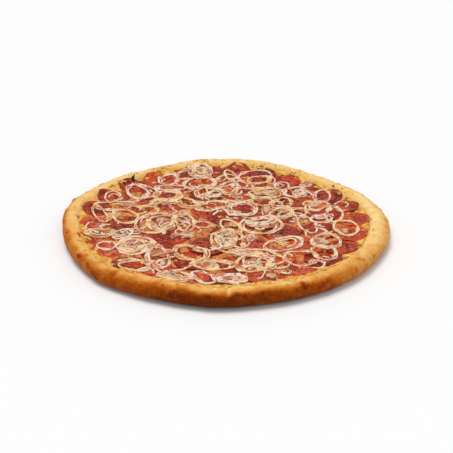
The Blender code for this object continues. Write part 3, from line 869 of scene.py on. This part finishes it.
class Onions:
    """Bands and films of onion in one mesh."""

    def __init__(self):
        self.points, self.faces = [], []
        # foot: how much of the warm foot colour a point takes, partly orange oil and partly painted shade
        self.numbers = {"across": [], "tone": [], "meat": [], "foot": []}

    def add_point(self, point, **numbers):
        self.points.append(point)
        for key, value in numbers.items():
            self.numbers[key].append(value)

    def add_band(self, relief, corners, width, thickness, closed, draw):
        """Lays a band of onion along the corners and over whatever is under it."""
        path = smooth_path(corners, closed)
        count = len(path)
        side = sides_of(path, closed)
        phase = draw.uniform(0, 1000)
        widths = band_widths(width, count, closed, phase)
        spots = beside(path, side, widths[:, None] * np.linspace(-0.5, 0.5, 7))
        rest = bridge(relief.at(*spots).max(axis=1), ONION_STIFFNESS, closed)
        turns = turns_round(BAND_SIDES)
        u, v = (np.sign(part) * np.abs(part) ** 0.7 for part in (np.cos(turns), np.sin(turns)))
        reach = widths[:, None] / 2 * u[None, :]
        flared = (v < -0.1) & (np.abs(u) > 0.5)
        reach = np.where(flared, np.sign(u) * (np.abs(reach) + BAND_FLARE), reach)
        x, y = beside(path, side, reach)
        ground = bridge(np.minimum(relief.at(x, y), rest[:, None]), 1, closed)
        meat = bridge(relief.meat[relief.index(x, y)], 1, closed)
        relief.stamp(*spots, rest[:, None] + 0.6 * thickness)
        tone = draw.uniform(0, 1)
        first = len(self.points)
        for k in range(count):
            lean = 0.35 * noise.noise(Vector((k * WAVE_STEP, phase, 7)))
            tall = thickness * (1 + 0.2 * noise.noise(Vector((k * PATH_STEP / (5 * MM), phase, 3))))
            clear = min(1.0, widths[k] / CLEAR_WIDTH)
            for n in range(BAND_SIDES):
                lain = 0.35 * ground[k, n] + 0.65 * rest[k]
                height = lain + tall * (0.4 + 0.6 * v[n]) + u[n] * widths[k] / 2 * lean
                # the lower, flared points take the warm foot colour: partly orange oil, partly painted shade
                # along the band's edge
                low = v[n] <= -0.1
                if low:
                    height = min(height, ground[k, n] - 0.1 * MM)
                across = 1 - (1 - abs(u[n])) * clear
                point = (x[k, n], y[k, n], height)
                self.add_point(point, across=across, tone=tone, meat=meat[k, n], foot=float(low))
        if closed:
            self.faces += [face[::-1] for face in grid_faces(count, BAND_SIDES, first, True)]
        else:
            self.faces += body_faces(count, BAND_SIDES, first, turned=True)

    def add_heart(self, relief, x, y, half_length, half_width, turn, draw, mesh=HEART_MESH):
        """A flat piece of onion with its layers showing as ripples."""
        around, outwards = mesh
        lobes = [(order, draw.uniform(0, math.tau), 0.09) for order in (2, 3, 4, 5)]
        edge = lobed_oval(half_length, half_width, turn, lobes)
        area = relief.window(x, y, half_length * 1.4 + 4 * MM)
        dx, dy = relief.x[area] - x, relief.y[area] - y
        share = np.hypot(dx, dy) / edge(np.arctan2(dy, dx))
        under, meat = relief.height[area], relief.meat[area].copy()
        rest = drape(under, share <= 1, 2 * MM) + 0.1 * MM
        thickness = draw.uniform(0.3, 0.5) * MM
        relief.meat[area] = np.where(share <= 1, np.minimum(meat, 0.25), meat)
        relief.height[area] = np.where(share <= 0.95, np.maximum(under, rest + thickness * 0.8), under)
        angles = turns_round(around)
        tone = draw.uniform(0, 1)
        first = len(self.points)
        rows = [(0.02 + 0.94 * step / outwards, 1.0) for step in range(outwards + 1)]
        rows += [(1.0, 0.6), (0.98, 0.1), (0.5, 0.0)]
        for reach, up in rows:
            px, py = x + reach * edge(angles) * np.cos(angles), y + reach * edge(angles) * np.sin(angles)
            rests, meats = (sample(relief, field, px, py, area) for field in (rest, meat))
            for a, b, c, red in zip(px, py, rests, meats):
                height = c + thickness * up * (1 - 0.25 * reach**4)
                # a film's rim and underside take much of the warm foot colour: partly oil, partly painted
                # shade
                across, foot = 0.6, 0.8
                if up == 1.0:
                    layer = reach * half_width / HEART_RIPPLE
                    layer += 0.8 * noise.noise(Vector((a, b, 0)) / (6 * MM))
                    height += 0.12 * MM * noise.noise(Vector((a, b, 5)) / (5 * MM))
                    across, foot = 0.35 * (0.5 + 0.5 * math.cos(math.tau * layer)), 0.0
                self.add_point((a, b, height), across=across, tone=tone, meat=red, foot=foot)
        self.faces += body_faces(len(rows), around, first, turned=True)

    def make(self, name, finish, replaced=()):
        make_piece(name, self.points, self.faces, finish, self.numbers, replaced)


def bridge(under, reach, closed):
    """Heights along a band that lies on these and is too stiff to follow each dip."""
    far = 4 * reach
    places = np.arange(-far, len(under) + far)
    wide = under[places % len(under) if closed else np.clip(places, 0, len(under) - 1)]
    columns = wide.reshape(len(wide), -1)
    raised = [spread(column, reach, 0) for column in columns.T]
    smooth = [soften(column, max(1, reach // 2)) for column in raised]
    return np.stack(smooth, axis=1).reshape(wide.shape)[far:-far]


def peeled_corners(ring, draw):
    """A layer come off part of a ring, which lies a few millimetres inside or outside it."""
    middle = sum(ring, Vector((0, 0))) / len(ring)
    size = sum((corner - middle).length for corner in ring) / len(ring)
    change = 1 - draw.choice((-3.2, 2.6, 3.4, 4.6, 6)) * MM / size
    first, count = draw.randrange(len(ring)), max(4, round(len(ring) * draw.uniform(0.4, 0.95)))
    shift = Vector((draw.uniform(-3.5, 3.5), draw.uniform(-3.5, 3.5))) * MM
    corners = []
    for step in range(count):
        corner = ring[(first + step) % len(ring)]
        jitter = Vector((draw.uniform(-0.5, 0.5), draw.uniform(-0.5, 0.5))) * MM
        corners.append(middle + (corner - middle) * max(0.3, change) + shift + jitter)
    return corners


def spot_in_toppings(draw, reach):
    return at_angle(draw.uniform(0, math.tau), math.sqrt(draw.uniform(0, 1)) * reach)


def strand_corners(draw, low_radius, high_radius, low_length, high_length):
    """A thin curved strand: part of a broken ring. Its length is the angle it turns through."""
    middle = spot_in_toppings(draw, 132 * MM)
    radius = draw.uniform(low_radius, high_radius)
    flat = draw.uniform(0.45, 1)
    start, length = draw.uniform(0, math.tau), draw.uniform(low_length, high_length)
    turn = Matrix.Rotation(draw.uniform(0, math.pi), 2)
    count = max(3, int(radius * length / (6 * MM)))
    corners = []
    for step in range(count + 1):
        a = start + length * step / count
        reach = radius * (1 + 0.12 * draw.uniform(-1, 1))
        corners.append(middle + turn @ Vector((reach * math.cos(a), flat * reach * math.sin(a))))
    return corners


def add_layered_heart(onions, relief, heart, draw):
    """A clear film of onion with a few fine layers standing out of it."""
    x, y, half_length, half_width, degrees = heart
    middle = on_plan(x, y)
    long, short, turn = half_length * MM, half_width * MM, math.radians(degrees)
    onions.add_heart(relief, *middle, long, short, turn, draw)
    while short > 2.5 * MM:
        corners = ring_outline(middle, long, short, turn, draw)
        slip = draw.randrange(len(corners))
        kept = max(4, round(len(corners) * draw.uniform(0.45, 0.95)))
        corners = (corners + corners)[slip : slip + kept]
        onions.add_band(relief, corners, draw.uniform(1.6, 3.2) * MM, 0.4 * MM, False, draw)
        step = HEART_LAYER * draw.uniform(0.8, 1.9)
        long, short = long - 1.2 * step, short - step
        middle = middle + Vector((draw.uniform(-1.2, 1.2), draw.uniform(-1.2, 1.2))) * MM


def make_onions(relief, finish):
    rings = draw_together(list(ring_outlines(random.Random(21))))
    draw = random.Random(33)
    whole, loose = Onions(), Onions()
    for heart in ONION_HEARTS:
        add_layered_heart(loose, relief, heart, draw)
    for _ in range(LOOSE_STRANDS):
        corners = strand_corners(draw, 8 * MM, 22 * MM, 1.5, 4.8)
        loose.add_band(relief, corners, draw.uniform(1.3, 2.6) * MM, 0.7 * MM, False, draw)
    for width, corners in STRANDS:
        corners = [on_plan(x, y) for x, y in corners]
        loose.add_band(relief, corners, width * MM, BAND_THICKNESS, False, draw)
    for _ in range(SMALL_FILMS):
        spot = spot_in_toppings(draw, 138 * MM)
        length = draw.uniform(3, 11) * MM
        wide, turn = length * draw.uniform(0.5, 0.9), draw.uniform(0, 3)
        loose.add_heart(relief, *spot, length, wide, turn, draw, FILM_MESH)
    for corners, width in rings:
        if draw.random() < PEELED_SHARE:
            peeled = peeled_corners(corners, draw)
            loose.add_band(relief, peeled, draw.uniform(1.1, 2.6) * MM, 0.7 * MM, False, draw)
        whole.add_band(relief, corners, width, BAND_THICKNESS, True, draw)
    for _ in range(SHREDS):
        corners = strand_corners(draw, 3.5 * MM, 11 * MM, 1.0, 3.0)
        loose.add_band(relief, corners, draw.uniform(1.3, 2.8) * MM, 0.6 * MM, False, draw)
    whole.make("onions_baked", finish, ["onion_rings"])
    loose.make("onion_strands", finish)


# Herbs and charred bits


def herb_place(draw):
    """Where a flake falls: towards the middle, on the onion hearts, anywhere, or on the back rim."""
    kind = draw.random()
    margin = 22 * MM if kind < HERBS_ANYWHERE else 6 * MM
    while True:
        if kind < HERBS_MIDDLE:
            spot = Vector((draw.gauss(-5 * MM, 60 * MM), draw.gauss(-15 * MM, 60 * MM)))
        elif kind < HERBS_HEARTS:
            heart = draw.choice(ONION_HEARTS)
            spot = Vector((draw.gauss(heart[0], 9) * MM, draw.gauss(heart[1], 9) * MM))
        elif kind < HERBS_ANYWHERE:
            spot = Vector((draw.uniform(-160 * MM, 160 * MM), draw.uniform(-160 * MM, 160 * MM)))
        else:
            angle = math.radians(draw.uniform(18, 150))
            spot = at_angle(angle, float(by_angle(CREST_RADIUS, angle)) - draw.uniform(0, 18) * MM)
        if spot.length < by_angle(OUTLINE, math.atan2(spot.y, spot.x)) - margin:
            return spot.x - MIDDLE_X, spot.y - MIDDLE_Y


def height_at(relief, x, y):
    return float(relief.at(np.array([x]), np.array([y]))[0])


def make_herbs(relief, finish):
    """Small dry flakes, each a bent leaf scrap."""
    draw = random.Random(12)
    points, faces, tones = [], [], []
    for _ in range(HERB_FLAKES):
        x, y = herb_place(draw)
        size = draw.uniform(0.6, 1.25) * MM * (1.6 if draw.random() < 0.12 else 1)
        place = Vector((x, y, height_at(relief, x, y) + 0.25 * MM))
        turn = draw.uniform(0, math.tau)
        tilt = [Matrix.Rotation(draw.uniform(-0.5, 0.5), 3, axis) for axis in "XY"]
        spin = Matrix.Rotation(turn, 3, "Z") @ tilt[0] @ tilt[1]
        narrow = draw.uniform(0.45, 0.9)
        faces += body_faces(2, 6, len(points), turned=True)
        for side in (0.5, -0.5):
            for a in turns_round(6):
                reach = size * draw.uniform(0.75, 1.1)
                flat = Vector((reach * math.cos(a), reach * narrow * math.sin(a), side * 0.14 * MM))
                flat.z += 0.25 * abs(flat.y)
                points.append(spin @ flat + place)
        tones += [draw.uniform(0, 1)] * 12
    make_piece("herb_flakes", points, faces, finish, {"tone": tones})


def make_charred(name, path, radius, finish):
    """A thin curled strip burnt black, tapering to both ends."""
    points, sides = [], 6
    for k, place in enumerate(path):
        share = k / (len(path) - 1)
        thick = radius * (0.25 + 0.75 * math.sin(math.pi * min(max(share, 0.03), 0.97)))
        for turn in turns_round(sides):
            across, up = thick * math.cos(turn), thick * math.sin(turn)
            lean = 0.3 * up if k else 0
            points.append((place[0] + across, place[1] + lean, place[2] + 0.6 * up))
    make_piece(name, points, body_faces(len(path), sides), finish)


def make_charred_bits(relief, finish):
    """One sliver stands against the rim at the back left, a smaller one lies near it."""
    x, y = SLIVER_AT
    ground = height_at(relief, x, y)
    path = [(x - 0.14 * MM * k * (8 - k), y + 0.3 * MM * k, ground + 1.25 * MM * k) for k in range(9)]
    make_charred("charred_sliver", path, 1.9 * MM, finish)
    x, y = CRUMB_AT
    ground = height_at(relief, x, y + 1 * MM) + 0.6 * MM
    path = [(x + 0.2 * MM * k, y + 0.9 * MM * k, ground) for k in range(5, -1, -1)]
    make_charred("charred_crumb", path, 0.9 * MM, finish)


# Materials


class Finish:
    """A material with short ways to add nodes to it. Patterns are in metres over the whole pizza."""

    def __init__(self, name, specular, soft=()):
        """A soft thing lets light in: (share of it, how deep for red, green and blue, by this length)."""
        self.material = bpy.data.materials.new(name)
        self.material.use_nodes = True
        self.tree = self.material.node_tree
        self.shader = self.tree.nodes["Principled BSDF"]
        self.shader.inputs["Specular IOR Level"].default_value = specular
        for key, value in zip(("Weight", "Radius", "Scale"), soft):
            self.shader.inputs["Subsurface " + key].default_value = value
        self.place = self.node("TexCoord").outputs["Object"]

    def link(self, value, socket):
        if isinstance(value, bpy.types.NodeSocket):
            self.tree.links.new(value, socket)
        else:
            socket.default_value = value

    def node(self, kind, **inputs):
        """A new node, with these values or other nodes' outputs for its inputs."""
        node = self.tree.nodes.new("ShaderNode" + kind)
        for key, value in inputs.items():
            self.link(value, node.inputs[key.replace("_", " ")])
        return node

    def attribute(self, name):
        node = self.node("Attribute")
        node.attribute_name = name
        return node.outputs["Fac"]

    def noise(self, size, detail=3, roughness=0.55, distortion=0.0):
        """Cloudy noise whose features are about this size."""
        look = {"Detail": detail, "Roughness": roughness, "Distortion": distortion}
        return self.node("TexNoise", Vector=self.place, Scale=1 / size, **look).outputs["Fac"]

    def cells(self, size, feature="F1"):
        node = self.node("TexVoronoi", Vector=self.place, Scale=1 / size)
        node.feature = feature
        return node.outputs["Distance"]

    def math(self, operation, first, second):
        node = self.node("Math")
        node.operation = operation
        self.link(first, node.inputs[0])
        self.link(second, node.inputs[1])
        return node.outputs["Value"]

    def add(self, first, second):
        return self.math("ADD", first, second)

    def times(self, first, second):
        return self.math("MULTIPLY", first, second)

    def between(self, value, low, high, start=0.0, end=1.0):
        """Smoothly from start to end as the value goes from low to high."""
        node = self.node("MapRange", Value=value, From_Min=low, From_Max=high, To_Min=start, To_Max=end)
        node.interpolation_type = "SMOOTHSTEP"
        return node.outputs["Result"]

    def ramp(self, value, *stops):
        """Colours by value, each stop a position with its red, green and blue."""
        node = self.node("ValToRGB", Fac=value)
        elements = node.color_ramp.elements
        while len(elements) < len(stops):
            elements.new(0.5)
        for element, (position, *colour) in zip(elements, stops):
            element.position = position
            element.color = srgb(*colour)
        return node.outputs["Color"]

    def mix(self, share, first, second):
        node = self.node("Mix")
        node.data_type = "RGBA"
        for value, socket in ((share, 0), (first, 6), (second, 7)):
            self.link(value, node.inputs[socket])
        return node.outputs[2]

    def finish(self, colour, roughness, height, depth):
        """The finished material, with bumps of this depth where the height varies."""
        bump = self.node("Bump", Height=height, Distance=depth).outputs["Normal"]
        for value, name in ((colour, "Base Color"), (roughness, "Roughness"), (bump, "Normal")):
            self.link(value, self.shader.inputs[name])
        return self.material


def crust_finish():
    """Baked dough: pale and floury where it is young, golden to brown where the oven caught it, and on its
    outer side darker with painted shade as well as baking.
    """
    f = Finish("baked_crust", 0.05, (0.1, (1.0, 0.5, 0.25), 2 * MM))
    clouds = f.noise(11 * MM, 4, 0.6)
    # its baking, with painted shade down the outer side
    bake_and_shade = f.attribute("bake_and_shade")
    patches, fine = f.noise(4.5 * MM, 4, 0.68), f.noise(1.4 * MM, 3, 0.65)
    for pattern, amount in ((clouds, 0.26), (patches, 0.24), (fine, 0.42)):
        bake_and_shade = f.add(bake_and_shade, f.times(f.math("SUBTRACT", pattern, 0.5), amount))
    colour = f.ramp(
        bake_and_shade,
        (0.0, 240, 210, 150),
        (0.22, 236, 192, 124),
        (0.42, 222, 164, 86),
        (0.6, 198, 118, 38),
        (0.8, 156, 70, 2),
        (1.0, 104, 40, 2),
    )
    flour = f.times(f.between(f.noise(5 * MM, 5, 0.75), 0.6, 0.75), f.between(bake_and_shade, 0.7, 0.4))
    colour = f.mix(f.times(flour, 0.22), colour, srgb(250, 232, 196))
    greasy = f.add(f.attribute("inner"), f.between(f.noise(6 * MM, 4, 0.65), 0.35, 0.65, -0.5, 0.5))
    colour = f.mix(f.between(greasy, 0.5, 1.0, 0, 0.65), colour, srgb(238, 198, 112))
    specks = f.times(f.between(f.cells(3.1 * MM), 0.1, 0.03), f.between(f.noise(7 * MM, 1), 0.55, 0.62))
    colour = f.mix(f.times(specks, 0.7), colour, srgb(120, 66, 22))
    height = f.add(f.times(f.noise(0.8 * MM, 3, 0.65), 0.5), f.noise(3 * MM, 3, 0.5))
    return f.finish(colour, f.between(clouds, 0.3, 0.7, 0.52, 0.7), height, 0.35 * MM)


def cheese_finish():
    """Melted cheese: yellow and oily, paler where it is thick, with browned and orange patches."""
    f = Finish("melted_cheese", 0.3, (0.2, (1.0, 0.6, 0.25), 2 * MM))
    clouds = f.noise(6 * MM, 3, 0.5)
    colour = f.ramp(
        clouds, (0.28, 202, 116, 26), (0.42, 220, 150, 46), (0.55, 232, 178, 76), (0.75, 242, 206, 124)
    )
    oil = f.add(f.noise(4.5 * MM, 4, 0.6, 0.6), f.times(f.attribute("stain"), 0.3))
    oil = f.between(oil, 0.56, 0.78)
    # the cheese's own orange oil stains; no shade is painted into them
    oil_stain_and_shade = f.ramp(f.noise(4 * MM, 3, 0.6), (0.35, 160, 60, 20), (0.65, 214, 118, 60))
    colour = f.mix(f.times(oil, 0.92), colour, oil_stain_and_shade)
    height = f.add(f.noise(1.2 * MM, 3, 0.6), f.times(f.cells(2.6 * MM, "SMOOTH_F1"), 0.8))
    return f.finish(colour, f.between(oil, 0, 1, 0.42, 0.22), height, 0.3 * MM)


def sausage_finish():
    """Cured sausage: brick red meat with pale fat, darker towards its skin, wet with orange oil."""
    f = Finish("sausage_slice", 0.12, (0.3, (1.0, 0.35, 0.2), 1.5 * MM))
    tone = f.attribute("tone")
    clouds = f.between(f.noise(10 * MM, 3, 0.6), 0.36, 0.64)
    grain = f.between(f.noise(3.6 * MM, 3, 0.7), 0.38, 0.62)
    value = f.add(f.add(f.times(tone, 0.4), f.times(clouds, 0.3)), f.times(grain, 0.3))
    colour = f.ramp(
        value,
        (0.08, 68, 4, 6),
        (0.3, 110, 10, 6),
        (0.5, 146, 32, 12),
        (0.7, 178, 66, 38),
        (0.9, 212, 120, 90),
    )
    orange = f.between(f.noise(15 * MM, 3, 0.55), 0.48, 0.6)
    fat = f.between(f.noise(3.2 * MM, 3, 0.65), 0.5, 0.64)
    dark = f.between(f.noise(6 * MM, 3, 0.6, 0.5), 0.53, 0.64)
    colour = f.mix(f.times(orange, 0.7), colour, srgb(198, 66, 0))
    colour = f.mix(f.times(fat, 0.42), colour, srgb(222, 138, 108))
    colour = f.mix(f.times(dark, 0.5), colour, srgb(100, 14, 8))
    rim_tone = f.mix(f.between(tone, 0.3, 0.6), srgb(132, 32, 10), srgb(200, 72, 14))
    colour = f.mix(f.times(f.between(f.attribute("share"), 0.76, 0.98), 0.85), colour, rim_tone)
    height = f.add(f.noise(1.3 * MM, 3, 0.6), f.times(f.noise(3.4 * MM, 2), 0.8))
    return f.finish(colour, f.between(clouds, 0, 1, 0.3, 0.5), height, 0.35 * MM)


def onion_finish():
    """Soft baked onion: cream white at its edges, pinker and clearer in the middle of a band, warm orange at
    its foot, which is partly oil and partly painted shade.
    """
    f = Finish("baked_onion", 0.22, (0.5, (1.0, 0.65, 0.45), 3 * MM))
    meat = f.attribute("meat")
    pale = f.mix(f.between(f.attribute("tone"), 0.2, 0.8), srgb(246, 206, 152), srgb(248, 214, 192))
    clear = f.mix(f.between(meat, 0.1, 0.8), srgb(214, 156, 108), srgb(184, 92, 58))
    clouds = f.noise(8 * MM, 3, 0.6)
    thin = f.between(f.attribute("across"), 0.95, 0.2)
    thin = f.add(thin, f.between(clouds, 0.4, 0.66, -0.45, 0.45))
    colour = f.mix(f.between(thin, 0.1, 1.0, 0, 0.95), pale, clear)
    streaks = f.between(f.noise(2 * MM, 3, 0.6), 0.54, 0.7, 0, 0.3)
    colour = f.mix(streaks, colour, srgb(206, 140, 100))
    # painted shade and orange oil: the warm colour at the foot of the bands and films
    oil_stain_and_shade = f.mix(meat, srgb(212, 140, 62), srgb(194, 84, 40))
    colour = f.mix(f.between(f.attribute("foot"), 0.1, 1.0, 0, 0.6), colour, oil_stain_and_shade)
    height = f.add(f.noise(0.9 * MM, 2), f.times(f.noise(2.6 * MM, 2), 0.7))
    return f.finish(colour, f.between(clouds, 0.35, 0.65, 0.32, 0.48), height, 0.06 * MM)


def herb_finish():
    f = Finish("dry_herbs", 0.1)
    colour = f.ramp(
        f.attribute("tone"),
        (0.0, 62, 50, 12),
        (0.35, 96, 84, 22),
        (0.65, 128, 100, 38),
        (0.85, 84, 48, 16),
        (1.0, 150, 122, 52),
    )
    return f.finish(colour, 0.8, f.noise(0.4 * MM), 0.1 * MM)


def charred_finish():
    f = Finish("charred", 0.5)
    colour = f.ramp(f.noise(1.5 * MM), (0.3, 16, 10, 8), (0.8, 52, 30, 18))
    return f.finish(colour, 0.6, f.noise(0.6 * MM), 0.2 * MM)


# Floor, light and camera


def make_floor():
    f = Finish("pale_floor", 0.1)
    f.shader.inputs["Roughness"].default_value = 0.9
    f.shader.inputs["Base Color"].default_value = (0.86, 0.86, 0.86, 1)
    data = bpy.data.meshes.new("floor")
    far = 4.0
    data.from_pydata([(-far, -far, 0), (far, -far, 0), (far, far, 0), (-far, far, 0)], [], [(0, 1, 2, 3)])
    data.materials.append(f.material)
    floor = add_object("floor", data)
    floor.location.z = -0.2 * MM


def add_sun(name, towards, strength, softness):
    """Even light from one direction, softened over this many degrees, so that the floor is evenly pale."""
    lamp = bpy.data.lights.new(name, "SUN")
    lamp.energy = strength
    lamp.angle = math.radians(softness)
    obj = add_object(name, lamp)
    obj.location = towards
    obj.rotation_euler = (-Vector(towards)).to_track_quat("-Z", "Y").to_euler()


def light_scene():
    world = bpy.data.worlds.new("studio")
    world.use_nodes = True
    sky = world.node_tree.nodes["Background"]
    sky.inputs["Color"].default_value = (1, 1, 1, 1)
    sky.inputs["Strength"].default_value = 0.56
    bpy.context.scene.world = world
    add_sun("key", (-0.2, 0.2, 1.0), 1.75, 35)
    add_sun("fill", (0.4, -0.6, 0.7), 0.25, 60)
    bpy.context.scene.view_settings.view_transform = "Standard"


def make_camera():
    lens = bpy.data.cameras.new("camera")
    lens.lens = LENS
    lens.sensor_width = 36
    camera = add_object("camera", lens)
    camera.location = CAMERA_AT
    camera.rotation_euler = (Vector(CAMERA_AIM) - Vector(CAMERA_AT)).to_track_quat("-Z", "Y").to_euler()
    bpy.context.scene.camera = camera


make_camera()
light_scene()
make_floor()
make_crust(crust_finish())
relief = Relief()
cheese = cheese_height(relief)
relief.height = np.maximum(cheese, crust_height(relief))
sausage = sausage_finish()
slice_draw = random.Random(3)
for number in range(1, SLICES + 1):
    make_slice(number, relief, sausage, slice_draw)
cheese = swollen_cheese(relief, cheese)
relief.height = np.maximum(relief.height, np.minimum(cheese, relief.height + CHEESE_SWELL))
melted = cheese_finish()
make_cheese(relief, cheese, melted)
make_cheese_bits(relief, melted)
make_onions(relief, onion_finish())
make_herbs(relief, herb_finish())
make_charred_bits(relief, charred_finish())
